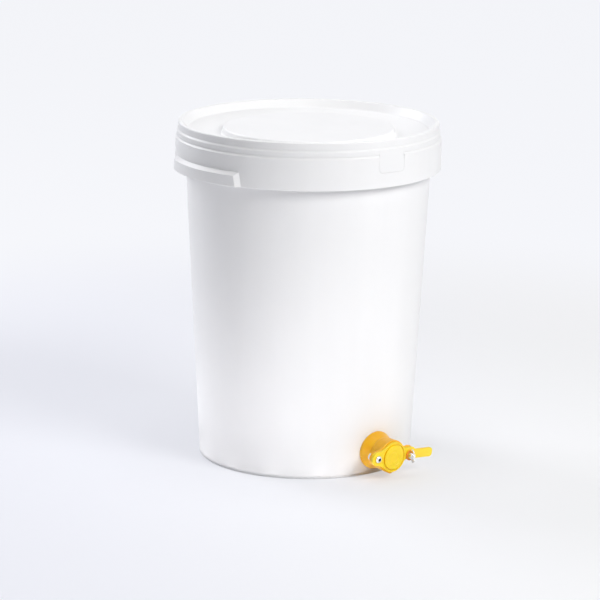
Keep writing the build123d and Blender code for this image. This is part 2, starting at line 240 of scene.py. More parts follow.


# %% [markdown]
# ## Steel and silicone
# The screws are plain stainless steel: bright, with fine turned lines round each head, which catch light
# as narrow streaks. The faces of the screw's socket get a near-black steel of their own: painted shade of
# the deep recess. The gaskets are pale silicone, dull and slightly dusty.

# %% Steel and silicone
def bright_steel():
    made = Finish("bright_steel")
    turned = made.noise(3000, 3, (0.15, 1, 1))
    smear = made.noise(260, 3)
    made.surface(
        Base_Color=made.mix(smear, (0.72, 0.72, 0.73, 1), (0.84, 0.84, 0.84, 1)),
        Roughness=0.1 + 0.12 * smear + 0.08 * turned,
        Normal=made.bump(turned, 0.12, 0.0002),
        Metallic=1.0,
    )
    return made.material


# Near-black, mottled steel for the screw's socket: painted shade of the recess.
def socket_shade_steel():
    made = Finish("socket_shade_steel")
    shade_mottle = made.noise(700, 4)
    made.surface(
        Base_Color=made.mix(shade_mottle, (0.03, 0.028, 0.026, 1), (0.09, 0.085, 0.08, 1)),
        Roughness=0.45 + 0.25 * shade_mottle,
        Normal=made.bump(shade_mottle, 0.15, 0.0002),
        Metallic=0.4,
    )
    return made.material


def pale_silicone():
    made = Finish("pale_silicone")
    dust = made.noise(420, 4)
    dusty = made.between(dust, 0.35, 0.7)
    made.surface(
        Base_Color=made.mix(dusty, (0.7, 0.69, 0.65, 1), (0.8, 0.79, 0.76, 1)),
        Roughness=0.55 + 0.2 * dust,
        Normal=made.bump(made.noise(1900, 2), 0.15, 0.0003),
        IOR=1.41,
    )
    return made.material


white = white_plastic()
yellow = amber_plastic("yellow_plastic", (1.0, 0.73, 0.014, 1), (0.985, 0.68, 0.009, 1), 0.26)
amber = amber_plastic("amber_plastic", (1.0, 0.535, 0.006, 1), (0.985, 0.485, 0.004, 1), 0.3)
# The washer's orange is a darker, redder copy of the yellow plastic: painted shade from the wing nut's
# wings.
orange = amber_plastic("orange_plastic", (0.88, 0.3, 0.01, 1), (0.84, 0.26, 0.007, 1), 0.32)
steel = bright_steel()
painted_socket_shade = socket_shade_steel()
silicone = pale_silicone()
finishes = (white, yellow, amber, orange, steel, painted_socket_shade, silicone)
print("finishes:", ", ".join(finish.name for finish in finishes))

# %% [markdown]
# ## Drawing outlines
# Nearly every piece starts as an outline: half a section to turn round an axis, or a flat shape to give a
# thickness. An outline is drawn as by hand, from one vertex that is extruded from point to point. Corners
# come as (x, y, radius) and are rounded first. A straight run gets a point near each end, so that smooth
# shading keeps to the rounding.

# %% Rounded corners and arcs
arc_step = 14               # degrees between points of a rounding
nearly_straight = 179       # degrees: a corner so open needs no rounding
hold_gap = 0.5              # the point that holds the shading, from the end of a straight run
long_run = 6 * hold_gap     # a shorter run gets no such points


def arc(centre, radius, start, end, step=arc_step):
    """Points on an arc, angles in degrees."""
    count = max(2, round(abs(end - start) / step))
    angles = [math.radians(start + (end - start) * place / count) for place in range(count + 1)]
    return [(centre[0] + radius * math.cos(a), centre[1] + radius * math.sin(a)) for a in angles]


def corner_points(before, corner, after):
    """Points that round one corner."""
    point = Vector(corner[:2])
    inward = (Vector(before[:2]) - point).normalized()
    outward = (Vector(after[:2]) - point).normalized()
    opening = inward.angle(outward)
    radius = corner[2]
    if radius == 0 or opening > math.radians(nearly_straight):
        return [tuple(point)]
    reach = radius / math.tan(opening / 2)
    centre = point + (inward + outward).normalized() * radius / math.sin(opening / 2)
    first = point + inward * reach - centre
    bend = math.degrees(first.angle_signed(point + outward * reach - centre))
    begin = math.degrees(math.atan2(first.y, first.x))
    return arc(centre, radius, begin, begin - bend)


def rounded(corners, closed=True):
    """Points of an outline whose corners are rounded, with holding points on the straight runs."""
    count = len(corners)
    runs = []
    for place, corner in enumerate(corners):
        ends = not closed and place in (0, count - 1)
        before, after = corners[place - 1], corners[(place + 1) % count]
        runs.append([corner[:2]] if ends else corner_points(before, corner, after))
    points = []
    for place, run in enumerate(runs):
        points += run
        if closed or place < count - 1:
            start = Vector(run[-1])
            end = Vector(runs[(place + 1) % count][0])
            along = end - start
            if along.length > long_run:
                step = along.normalized() * hold_gap
                points += [tuple(start + step), tuple(end - step)]
    return points


def ring_points(inner, outer, low, high):
    """Section of a plain ring."""
    return [(inner, low), (outer, low), (outer, high), (inner, high)]


print("a right angle is rounded with", len(arc((0, 0), 1, 0, 90)), "points")

# %% From an outline to a solid
merge_gap = MM * 0.001


def pick(piece):
    """Make a piece the only selected object."""
    bpy.ops.object.select_all(action="DESELECT")
    piece.select_set(True)
    bpy.context.view_layer.objects.active = piece


def draw(name, points, upright=True, closed=True):
    """Extrude one vertex through the points. An upright outline lies in the XZ plane, another one in XY."""
    path = [Vector((x, 0, y) if upright else (x, y, 0)) * MM for x, y in points]
    bpy.ops.object.select_all(action="DESELECT")
    bpy.ops.mesh.primitive_plane_add(size=MM)
    piece = bpy.context.object
    piece.name = name
    bpy.ops.object.mode_set(mode="EDIT")
    bpy.ops.mesh.select_all(action="SELECT")
    bpy.ops.mesh.merge(type="CENTER")
    bpy.ops.transform.translate(value=path[0])
    for start, end in zip(path, path[1:] + path[:1] * closed):
        bpy.ops.mesh.extrude_region_move(TRANSFORM_OT_translate={"value": end - start})
    bpy.ops.mesh.select_all(action="SELECT")
    bpy.ops.mesh.remove_doubles(threshold=merge_gap)
    bpy.ops.mesh.select_all(action="SELECT")
    return piece


def close_up():
    """Merge what lies together, turn the faces outwards and go back to object mode."""
    bpy.ops.mesh.select_all(action="SELECT")
    bpy.ops.mesh.remove_doubles(threshold=merge_gap)
    bpy.ops.mesh.select_all(action="SELECT")
    bpy.ops.mesh.normals_make_consistent(inside=False)
    bpy.ops.object.mode_set(mode="OBJECT")


def turn(name, points, steps=64, closed=True):
    """Spin half a section once round the Z axis."""
    piece = draw(name, points, closed=closed)
    bpy.ops.mesh.spin(steps=steps, angle=math.tau, center=(0, 0, 0), axis=(0, 0, 1))
    close_up()
    return piece


def sector(name, points, middle, width, steps):
    """Spin a section through part of a turn, centred on an angle that is counted from -Y towards +X."""
    piece = draw(name, points)
    bpy.ops.mesh.edge_face_add()
    begin = middle - 90 + width / 2
    bpy.ops.transform.rotate(value=-math.radians(begin), orient_axis="Z", center_override=(0, 0, 0))
    bpy.ops.mesh.spin(steps=steps, angle=math.radians(width), center=(0, 0, 0), axis=(0, 0, 1))
    close_up()
    return piece


def slab(name, points, low, high):
    """Give a flat outline a thickness along Z."""
    piece = draw(name, points, upright=False)
    bpy.ops.mesh.edge_face_add()
    bpy.ops.transform.translate(value=(0, 0, low * MM))
    bpy.ops.mesh.extrude_region_move(TRANSFORM_OT_translate={"value": (0, 0, (high - low) * MM)})
    close_up()
    return piece


# %% Finishing a solid
def tidy_edges(piece, width, segments=2, angle=30):
    """Round every sharp edge of a piece a little, as a mould does."""
    pick(piece)
    bpy.ops.object.modifier_add(type="BEVEL")
    bevel = piece.modifiers[-1]
    bevel.width = width * MM
    bevel.segments = segments
    bevel.limit_method = "ANGLE"
    bevel.angle_limit = math.radians(angle)
    bpy.ops.object.modifier_apply(modifier=bevel.name)
    return piece


def combine(piece, others, operation):
    """Join other pieces into one tool and add it to a piece or cut it away."""
    pick(others[0])
    for other in others:
        other.select_set(True)
    if len(others) > 1:
        bpy.ops.object.join()
    tool = bpy.context.object
    pick(piece)
    bpy.ops.object.modifier_add(type="BOOLEAN")
    cut = piece.modifiers[-1]
    cut.object = tool
    cut.operation = operation
    cut.solver = "EXACT"
    bpy.ops.object.modifier_apply(modifier=cut.name)
    bpy.data.objects.remove(tool)
    return piece


def settle(piece, body, finish, nodes, crease=32):
    """Shade a piece, give it its finish and let it stand for its CAD node."""
    pick(piece)
    bpy.ops.object.transform_apply(location=True, rotation=True, scale=True)
    bpy.ops.object.shade_smooth_by_angle(angle=math.radians(crease))
    bpy.ops.object.modifier_add(type="WEIGHTED_NORMAL")
    piece.modifiers[-1].keep_sharp = True
    bpy.ops.object.modifier_apply(modifier=piece.modifiers[-1].name)
    piece.data.materials.clear()
    piece.data.materials.append(finish)
    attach(piece, body)
    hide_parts(*nodes)
    print(piece.name, len(piece.data.polygons), "faces")


# %% [markdown]
# ## The pail
# The pail is one moulding: a wall that leans out by three degrees so that pails nest, a foot ring, a
# flared rim for the lid to snap over, and a tall collar that hangs from a ledge below the rim. It could
# be stacked up from cones and rings, but they would meet in seams, so half its section is drawn in one go
# and spun. Sizes are the CAD model's, in millimetres.

# %% Sizes of the pail
base_radius = 144.1
wall_lean = math.tan(math.radians(3.0))
pail_height = 456.6
wall = 2.4
floor_top = 4.3
foot_height = 1.5
foot_width = 12.0
ledge = 441.2
collar_top = 438.8
collar_bottom = 397.9
collar_reach = 11.8         # from the wall to the collar's outside
collar_wall = 2.2
shoulder_width = 1.7
rim_flare = 4.87            # from the wall's line to the rim's outside
rim_height = 4.5


def wall_radius(z):
    return base_radius + z * wall_lean


collar_radius = wall_radius(ledge) + collar_reach
collar_inside = collar_radius - collar_wall
rim_radius = wall_radius(pail_height) + rim_flare
rim_foot = pail_height - rim_height
flare_foot = rim_foot - (rim_radius - wall_radius(rim_foot))
print("collar", round(2 * collar_radius, 1), "mm across")

# %% Sizes of the lid that the pail's mouth follows
lid_wall = 2.2
lid_gap = 0.4
seal_room = 1.6             # between the rim and the lid's underside
lid_top = pail_height + seal_room + lid_wall
skirt_radius = rim_radius + lid_gap + lid_wall
crest_width = 5.5
crest_radius = skirt_radius - crest_width
plug_run = 8.0
moat_depth = 11.0
plug_slope = plug_run / moat_depth
mouth_radius = (crest_radius - (lid_top - pail_height) * plug_slope
                + (lid_wall + lid_gap) * math.hypot(1, plug_slope))
mouth_foot = (base_radius - wall - mouth_radius + pail_height * plug_slope) / (plug_slope - wall_lean)
print("mouth", round(2 * mouth_radius, 1), "mm across")

# %% Wall, floor, rim and collar in one section
pail_section = [
    (0, foot_height, 0),
    (base_radius - foot_width, foot_height, 0.5),
    (base_radius - foot_width, 0, 0.5),
    (base_radius, 0, 2.0),
    (wall_radius(ledge - collar_wall), ledge - collar_wall, 1.2),
    (collar_inside, ledge - collar_wall, 0.8),
    (collar_inside, collar_bottom, 0.6),
    (collar_radius, collar_bottom, 0.8),
    (collar_radius, collar_top, 0.6),
    (collar_radius - shoulder_width, ledge, 0.5),
    (wall_radius(ledge), ledge, 0.8),
    (wall_radius(flare_foot), flare_foot, 1.5),
    (rim_radius, rim_foot, 0.8),
    (rim_radius, pail_height, 0.8),
    (mouth_radius, pail_height, 0.6),
    (wall_radius(mouth_foot) - wall, mouth_foot, 3.0),
    (wall_radius(floor_top) - wall, floor_top, 4.0),
    (0, floor_top, 0),
]
pail = turn("tank_pail", rounded(pail_section, closed=False), steps=216, closed=False)
print(pail.name, [round(1000 * side) for side in pail.dimensions], "mm")

# %% [markdown]
# ## Grips, ribs, notch and tap hole
# Two grip blocks stand out low on the collar, with a sloped top and sloped ends. Each is a short spun
# sector whose ends are sliced off at a slant. Thin ribs stiffen the collar from behind. A notch takes the
# lid's pull tab and a round hole takes the gate. What is added and what is cut away is joined into one
# tool each, so two booleans do it all.

# %% Grip blocks
grip_angle = 85.0
grip_half_arc = 24.9
grip_height = 19.4
grip_reach = 4.6
grip_ramp = 7.4
grip_slant = math.tan(math.radians(10.0))
grip_ease = 0.35
grip_top = collar_bottom + grip_height
collar_middle = collar_radius - collar_wall / 2
sunk = 0.8                  # how deep the grip's slope runs into the collar


def arc_degrees(length):
    """Angle that a length covers on the collar's outside."""
    return math.degrees(length / collar_radius)


def slice_grip(block, middle, side):
    """Slice one end off a grip block, leaning in towards the top and the outside."""
    angle = math.radians(middle + side * grip_half_arc)
    outwards = Vector((math.sin(angle), -math.cos(angle), 0))
    along = Vector((math.cos(angle), math.sin(angle), 0)) * side
    normal = along * grip_reach + outwards * grip_ramp + Vector((0, 0, grip_slant * grip_reach))
    normal.normalize()
    point = outwards * collar_radius + Vector((0, 0, collar_bottom + grip_height / 2))
    pick(block)
    bpy.ops.object.mode_set(mode="EDIT")
    bpy.ops.mesh.select_all(action="SELECT")
    bpy.ops.mesh.bisect(plane_co=point * MM, plane_no=normal, use_fill=True, clear_outer=True)
    close_up()


def grip_block(middle):
    section = rounded([
        (collar_middle, collar_bottom, 0),
        (collar_radius + grip_reach, collar_bottom, 0.8),
        (collar_radius + grip_reach, grip_top - grip_reach, 0),
        (collar_radius - sunk, grip_top + sunk, 0),
        (collar_middle, grip_top + sunk, 0),
    ])
    block = sector("grip", section, middle, 2 * grip_half_arc + arc_degrees(4 * grip_ramp), 48)
    for side in (-1, 1):
        slice_grip(block, middle, side)
    return tidy_edges(block, grip_ease)


def grip_pocket(middle):
    """Finger room behind a grip block, open at the bottom."""
    pocket_top = grip_top - grip_reach - collar_wall
    inset = arc_degrees(grip_ramp + collar_wall + grip_height / 2 * grip_slant)
    section = rounded([
        (collar_inside - collar_wall, collar_bottom - collar_wall, 0),
        (collar_inside + grip_reach, collar_bottom - collar_wall, 0),
        (collar_inside + grip_reach, pocket_top, 0.8),
        (collar_inside - collar_wall, pocket_top, 0),
    ])
    return sector("pocket", section, middle, 2 * (grip_half_arc - inset), 36)


# %% Ribs behind the collar
rib_count = 12
rib_width = 2.0
rib_lift = 8                # from the collar's lower edge
rib_ease = 0.3


def rib(angle):
    low = collar_bottom + rib_lift
    high = ledge - collar_wall / 2
    section = [
        (wall_radius(low) - wall / 2, low),
        (collar_middle, low),
        (collar_middle, high),
        (wall_radius(high) - wall / 2, high),
    ]
    return tidy_edges(sector("rib", section, angle, arc_degrees(rib_width), 1), rib_ease)


# %% Pull tab and its notch
tab_angle = -2.6
tab_width = 41.0
tab_drop = 21.3
tab_bottom = collar_top - tab_drop
tab_wall = 2.0
tab_gap = 0.2
tab_corner = 5.0
tab_ease = 0.35
strip_foot = tab_bottom - 5         # the curved strip is longer and wider than the tab, and is trimmed
strip_width = tab_width + 8
trim_reach = 12


def tab_trim(gap, top, name):
    """Block with the tab's outline as seen from outside, to trim a curved strip."""
    half = tab_width / 2 + gap
    corner = tab_corner + gap
    outline = rounded([
        (-half, tab_bottom - gap, corner),
        (half, tab_bottom - gap, corner),
        (half, top, 0),
        (-half, top, 0),
    ])
    block = draw(name, outline)
    bpy.ops.mesh.edge_face_add()
    bpy.ops.transform.translate(value=(0, -(collar_radius + trim_reach) * MM, 0))
    bpy.ops.mesh.extrude_region_move(TRANSFORM_OT_translate={"value": (0, 2 * trim_reach * MM, 0)})
    bpy.ops.mesh.select_all(action="SELECT")
    bpy.ops.transform.rotate(value=-math.radians(tab_angle), orient_axis="Z", center_override=(0, 0, 0))
    close_up()
    return block


def tab_notch():
    depth = collar_radius - tab_wall - tab_gap
    top = ledge + tab_gap
    section = ring_points(depth, collar_radius + 2, strip_foot, top)
    strip = sector("notch", section, tab_angle, arc_degrees(strip_width), 24)
    return combine(strip, [tab_trim(tab_gap, top + 2, "notch_trim")], "INTERSECT")


# %% The gate's own frame
tap_height = 33.0
tap_roll = math.radians(-4.0)
lean = math.atan(wall_lean)
tap_frame = Matrix((
    (1, 0, 0, 0),
    (0, -math.sin(lean), -math.cos(lean), -wall_radius(tap_height) * MM),
    (0, math.cos(lean), -math.sin(lean), tap_height * MM),
    (0, 0, 0, 1),
)) @ Matrix.Rotation(tap_roll, 4, "Z")
spigot_radius = 20.9
spigot_gap = 0.3
wall_hole = spigot_radius + spigot_gap


def on_tap(piece, x=0.0, z=0.0):
    """Move a piece that was made about the origin to its place on the gate."""
    pick(piece)
    piece.matrix_world = tap_frame @ Matrix.Translation(Vector((x, 0, z)) * MM)
    bpy.ops.object.transform_apply(location=True, rotation=True, scale=True)
    return piece


def disc(name, radius, low, high, steps=96):
    """Plain round slab about the Z axis."""
    return slab(name, arc((0, 0), radius, 0, 360 - 360 / steps, 360 / steps), low, high)


# %% Add and cut
added = [grip_block(grip_angle + turned) for turned in (0, 180)]
for place in range(rib_count):
    angle = (place + 0.5) * 360 / rib_count
    if abs((angle + 90) % 180 - 90) > grip_half_arc:
        added.append(rib(grip_angle + angle))
combine(pail, added, "UNION")
cuts = [grip_pocket(grip_angle + turned) for turned in (0, 180)]
cuts.append(tab_notch())
cuts.append(on_tap(disc("tap_hole", wall_hole, -12, 8)))
combine(pail, cuts, "DIFFERENCE")
settle(pail, "tank", white, ["pail"], crease=28)

# %% [markdown]
# ## The lid
# The lid is a thin shell that snaps over the rim: a skirt in two bands, a rounded crest, a plug that
# slopes down inside the rim, a moat that takes the foot of a pail stacked on top, and a raised pad with a
# shallow dish. Its upper line is drawn once and spun, and a Solidify modifier gives it a wall that is
# even all over. The pull tab hangs from the lower band.

# %% Lid shell
skirt_gap = 0.05
skirt_bottom = ledge + skirt_gap
moat_radius = crest_radius - plug_run
moat_edge = lid_top - moat_depth
moat_fall = 8.0             # from the moat's outer edge to the pad's foot
pad_drop = 9.0
pad_top = lid_top - pad_drop
pad_radius = 114.5
pad_flare = 2.0
dish_radius = 30.0
dish_slope = 50.0
dish_edge = dish_radius + dish_slope
dish_depth = 3.0
band_height = 10.0
band_foot = lid_top - band_height
band_slope = 2.4
band_step = 1.7
lid_line = [
    (0, pad_top - dish_depth, 0),
    (dish_radius, pad_top - dish_depth, 600),
    (dish_edge, pad_top, 500),
    (pad_radius, pad_top, 2.4),
    (pad_radius + pad_flare, moat_edge - moat_fall, 2.6),
    (moat_radius, moat_edge, 3.0),
    (crest_radius, lid_top, 2.6),
    (skirt_radius, lid_top, 1.8),
    (skirt_radius, band_foot, 0.8),
    (skirt_radius + band_step, band_foot - band_slope, 0.8),
    (skirt_radius + band_step, skirt_bottom, 0),
]
lid = turn("tank_lid", rounded(lid_line, closed=False), steps=216, closed=False)
pick(lid)
bpy.ops.object.modifier_add(type="SOLIDIFY")
lid.modifiers[-1].thickness = lid_wall * MM
lid.modifiers[-1].offset = -1
lid.modifiers[-1].use_even_offset = True
bpy.ops.object.modifier_apply(modifier=lid.modifiers[-1].name)
print(lid.name, [round(1000 * side) for side in lid.dimensions], "mm")

# %% Pull tab
knee_drop = 6.0
tab_knee = collar_top - knee_drop   # the tab stands upright below it and leans in above it
tab_lean = 12.0
tab_section = [
    (collar_radius - tab_wall, strip_foot),
    (collar_radius, strip_foot),
    (collar_radius, tab_knee),
    (skirt_radius + band_step, tab_knee + tab_lean),
    (skirt_radius, tab_knee + tab_lean),
    (skirt_radius, skirt_bottom),
    (collar_radius - tab_wall, skirt_bottom),
]
tab = sector("tab", tab_section, tab_angle, arc_degrees(strip_width), 24)
tab = combine(tab, [tab_trim(0, tab_knee + tab_lean + 2, "tab_trim")], "INTERSECT")
combine(lid, [tidy_edges(tab, tab_ease)], "UNION")
settle(lid, "lid", white, ["lid"])

# %% [markdown]
# ## The gate's body
# The body is a flared spout with a waist, a boss and an end plate. The plate has an ear for the pivot on
# the left, one for the clamp on the right, and a drip nose at the bottom. The spout is spun, the plate is
# drawn flat: round arcs joined by hollow curves whose centres follow from the two radii. The flange's rim
# follows the pail's round wall and hides the gasket. A coarse thread on the spigot takes the lock nut
# inside.

# %% Sizes of the gate
bore_radius = 15.0
flange_radius = 25.9
flange_gap = 0.4
seat_radius = 23.6
seat_depth = 1.5
flange_front = 2.5
waist_radius = 20.4
waist_length = 14.0
boss_radius = 22.0
boss_start = 17.0
end_face = 34.2             # heights on the gate are counted from the pail's wall
plate_thickness = 4.5
plate_back = end_face - plate_thickness
plate_radius = 22.4
nose_drop = 23.9
nose_radius = 4.2
pivot_x = -28.3
pivot_ear = 9.5
pivot_blend = 25.0
clamp_x = 28.3
clamp_ear = 9.7
clamp_ear_rise = 2.7
clamp_blend = 8.0
bolt_radius = 3.0
bolt_hole = 3.06
wall_bow = 1.92             # how far the round wall falls back at the gasket's edge
nut_face = -(wall + wall_bow + seat_depth)
lock_nut_height = 9.0
nut_back = nut_face - lock_nut_height
spigot_tail = 2.5
spigot_end = nut_back - spigot_tail
print("gate", round(end_face - spigot_end, 1), "mm long")


# %% End plate outline
def toward(centre, point):
    """Angle in degrees of a point seen from a centre."""
    return math.degrees(math.atan2(point[1] - centre[1], point[0] - centre[0]))


def ear_points(radius, ear, ear_radius, hollow):
    """Outline round an ear, counter-clockwise, and the plate's angles at its two ends."""
    reach = math.hypot(*ear)
    heading = toward((0, 0), ear) % 360
    plate_side = radius + hollow
    x = (reach ** 2 + plate_side ** 2 - (ear_radius + hollow) ** 2) / (2 * reach)
    blend = (x, math.sqrt(plate_side ** 2 - x ** 2))
    rise = toward((0, 0), blend)
    tip = toward((reach, 0), blend)
    upper = arc((reach, 0), ear_radius, 0, tip, 8) + arc(blend, hollow, tip + 180, rise + 180, 8)[1:]
    lower = [(px, -py) for px, py in reversed(upper)]
    turned = Matrix.Rotation(math.radians(heading), 2)
    points = [tuple(turned @ Vector(point)) for point in lower[:-1] + upper]
    return points, heading - rise, heading + rise


def end_plate_outline():
    clamp = (clamp_x, clamp_ear_rise)
    right, right_low, right_high = ear_points(plate_radius, clamp, clamp_ear, clamp_blend)
    left, left_high, left_low = ear_points(plate_radius, (pivot_x, 0), pivot_ear, pivot_blend)
    swing = math.degrees(math.acos((plate_radius - nose_radius) / (nose_drop - nose_radius)))
    top = arc((0, 0), plate_radius, right_high, left_high, 6)
    low_left = arc((0, 0), plate_radius, left_low, 270 - swing, 6)
    nose = arc((0, nose_radius - nose_drop), nose_radius, 270 - swing, 270 + swing, 9)
    low_right = arc((0, 0), plate_radius, 270 + swing, 360 + right_low, 6)
    return right[1:-1] + top + left[1:-1] + low_left + nose + low_right


print("end plate outline", len(end_plate_outline()), "points")


# %% Threads
def thread(name, crest, depth, pitch, low, turns, steps=40):
    """Helical ridge: a small section that a Screw modifier winds up, closed at both ends."""
    inner = crest - 1.6 * depth
    outer = crest - 0.2 * depth
    section = [
        (inner, low),
        (outer, low + 0.4 * pitch),
        (outer, low + 0.55 * pitch),
        (inner, low + 0.95 * pitch),
    ]
    ridge = draw(name, section)
    bpy.ops.object.mode_set(mode="OBJECT")
    bpy.ops.object.modifier_add(type="SCREW")
    winding = ridge.modifiers[-1]
    winding.screw_offset = pitch * MM
    winding.iterations = turns
    winding.steps = winding.render_steps = steps
    bpy.ops.object.modifier_apply(modifier=winding.name)
    bpy.ops.object.mode_set(mode="EDIT")
    bpy.ops.mesh.select_all(action="SELECT")
    bpy.ops.mesh.fill_holes(sides=0)
    close_up()
    return ridge


# %% Tap body
spigot_thread = 1.1
spigot_pitch = 3.0
spigot_core = spigot_radius - spigot_thread
body_front = end_face - 0.5         # inside the end plate
plate_ease = 0.9
body_section = [
    (bore_radius - 1, spigot_end, 0),
    (spigot_core, spigot_end, 0.8),
    (spigot_core, seat_depth, 0),
    (flange_radius, seat_depth, 0),
    (flange_radius, flange_front, 2.0),
    (waist_radius, waist_length, 4.0),
    (boss_radius, boss_start, 1.2),
    (boss_radius, body_front, 0),
    (bore_radius - 1, body_front, 0),
]
tap_body = turn("gate_body", rounded(body_section), steps=112)
plate = slab("plate", end_plate_outline(), plate_back, end_face)
combine(tap_body, [tidy_edges(plate, plate_ease, 3)], "UNION")
ridge = thread("spigot_ridge", spigot_radius, spigot_thread, spigot_pitch, spigot_end + 0.4, 4, 64)
combine(tap_body, [ridge], "UNION")
print(tap_body.name, [round(1000 * side) for side in tap_body.dimensions], "mm")

# %% Bore, bolt holes and the seal's groove
groove_inside = 16.6
groove_outside = 19.6
groove_depth = 1.5


def bolt_hole_at(x, low, high, steps):
    """Round tool that cuts a bolt hole beside the spout's axis, longer than the hole at both ends."""
    hole = disc("hole", bolt_hole, low - 2, high + 2, steps)
    bpy.ops.transform.translate(value=(x * MM, 0, 0))
    bpy.ops.object.transform_apply(location=True)
    return hole


groove_section = ring_points(groove_inside, groove_outside, end_face - groove_depth, end_face + 1)
seal_groove = turn("seal_groove", groove_section)
holes = [disc("bore", bore_radius, spigot_end - 5, end_face + 5)]
holes += [bolt_hole_at(x, plate_back, end_face, 32) for x in (pivot_x, clamp_x)]
combine(tap_body, holes + [seal_groove], "DIFFERENCE")
on_tap(tap_body)

# %% Rim of the flange, cut to the pail's wall
core_low = -5
core_top = 3 * tap_height
rim_inset = 0.02            # keeps the rim's outside from lying in the flange's
rim_section = ring_points(seat_radius, flange_radius - rim_inset, core_low, 2)
rim = on_tap(turn("rim", rim_section, steps=112))
core_section = [
    (0, core_low),
    (wall_radius(core_low) + flange_gap, core_low),
    (wall_radius(core_top) + flange_gap, core_top),
    (0, core_top),
]
core = turn("core", core_section, steps=216, closed=False)
combine(rim, [core], "DIFFERENCE")
combine(tap_body, [rim], "UNION")
settle(tap_body, "tank", amber, ["tap_body"])

# %% [markdown]
# ## Lock nut
# Inside the pail a big plastic nut holds the spigot. A cylinder of six sides could be its start, but a
# hexagon that is drawn flat and thickened can have its corners eased first.

# %% Lock nut
def hexagon(flats, corner=0.0):
    """Hexagon with a flat side up."""
    reach = flats / math.sqrt(3)
    angles = [math.radians(a) for a in range(0, 360, 60)]
    corners = [(reach * math.cos(a), reach * math.sin(a), corner) for a in angles]
    return rounded(corners) if corner else [point[:2] for point in corners]


lock_nut_flats = 47.0
lock_nut_corner = 1.0
lock_nut_gap = 0.1
lock_nut_ease = 0.6
lock_nut = slab("gate_lock_nut", hexagon(lock_nut_flats, lock_nut_corner), nut_back, nut_face)
nut_bore = disc("nut_bore", spigot_radius + lock_nut_gap, nut_back - 3, nut_face + 3)
combine(lock_nut, [nut_bore], "DIFFERENCE")
tidy_edges(lock_nut, lock_nut_ease)
on_tap(lock_nut)
settle(lock_nut, "tank", amber, ["tap_lock_nut"])

# %% [markdown]
# ## The blade
# The blade closes the spout. It turns on the pivot at the left, hooks over the clamp bolt at the right
# and ends in a straight handle. Its outline runs round the disc, round the pivot ear, up the slanted jaw
# of the hook and out to the handle. The slot for the bolt is an arc about the pivot and opens downwards,
# so the blade can swing up and clear.

# %% Blade outline
face_gap = 0.1              # between faces that slide on each other
blade_thickness = 3.5
blade_back = end_face + face_gap
blade_front = blade_back + blade_thickness
blade_radius = 20.6
blade_ease = 0.8
hook_top = 11.0
hook_corner = 5.0
hook_blend = 6.0
jaw_drop = 7.8
jaw_tip = math.sqrt(blade_radius ** 2 - jaw_drop ** 2)
slot_gap = 0.6
slot_half = bolt_radius + slot_gap
slot_sweep = 24             # degrees about the pivot
hook_wall = 5.4
hook_end = clamp_x + slot_half + hook_wall
handle_end = 69.2
handle_width = 12.5
handle_half = handle_width / 2
handle_corner = 4.5
handle_rise = 1.2
droop = math.radians(1.0)


def on_handle(along, aside):
    """Point of the handle, along it from the bolt and aside from its middle line."""
    return (clamp_x + along * math.cos(droop) + aside * math.sin(droop),
            handle_rise - along * math.sin(droop) + aside * math.cos(droop))


def blade_outline():
    ear, ear_high, ear_low = ear_points(blade_radius, (pivot_x, 0), pivot_ear, pivot_blend)
    fillet_x = math.sqrt((blade_radius + hook_blend) ** 2 - (hook_top + hook_blend) ** 2)
    fillet = (fillet_x, hook_top + hook_blend)
    meet = toward((0, 0), fillet)
    foot = toward((0, 0), (jaw_tip, -jaw_drop))
    corner = (hook_end - hook_corner, hook_top - hook_corner)
    handle_top = on_handle(hook_end - clamp_x, handle_half)[1]
    climb = math.degrees(math.asin((handle_top - corner[1]) / hook_corner))
    length = handle_end - clamp_x
    jaw_low = 1             # the jaw rises at 45 degrees to this far below the middle, inside the slot
    points = arc((0, 0), blade_radius, meet, ear_high, 5)
    points += ear[1:-1]
    points += arc((0, 0), blade_radius, ear_low, 360 + foot, 5)
    points += rounded([
        (jaw_tip + jaw_drop - jaw_low, -jaw_low, 0),
        (*on_handle(0, -handle_half), 0),
        (*on_handle(length, -handle_half), handle_corner),
        (*on_handle(length, handle_half), handle_corner),
        (*on_handle(hook_end - clamp_x + 0.5, handle_half), 0),
    ], closed=False)
    points += arc(corner, hook_corner, climb, 90, 9)
    return points + arc(fillet, hook_blend, 270, 180 + meet, 8)[:-1]


def slot_outline():
    """Slot for the bolt: round at its top, then an arc about the pivot down to the open end."""
    reach = clamp_x - pivot_x
    cap = [(x + clamp_x, y) for x, y in arc((0, 0), slot_half, 0, 180, 9)]
    inner = arc((pivot_x, 0), reach - slot_half, 0, -slot_sweep, 2)
    outer = arc((pivot_x, 0), reach + slot_half, -slot_sweep, 0, 2)
    return cap[:-1] + inner + outer[:-1]


print("blade outline", len(blade_outline()), "points, slot", len(slot_outline()))

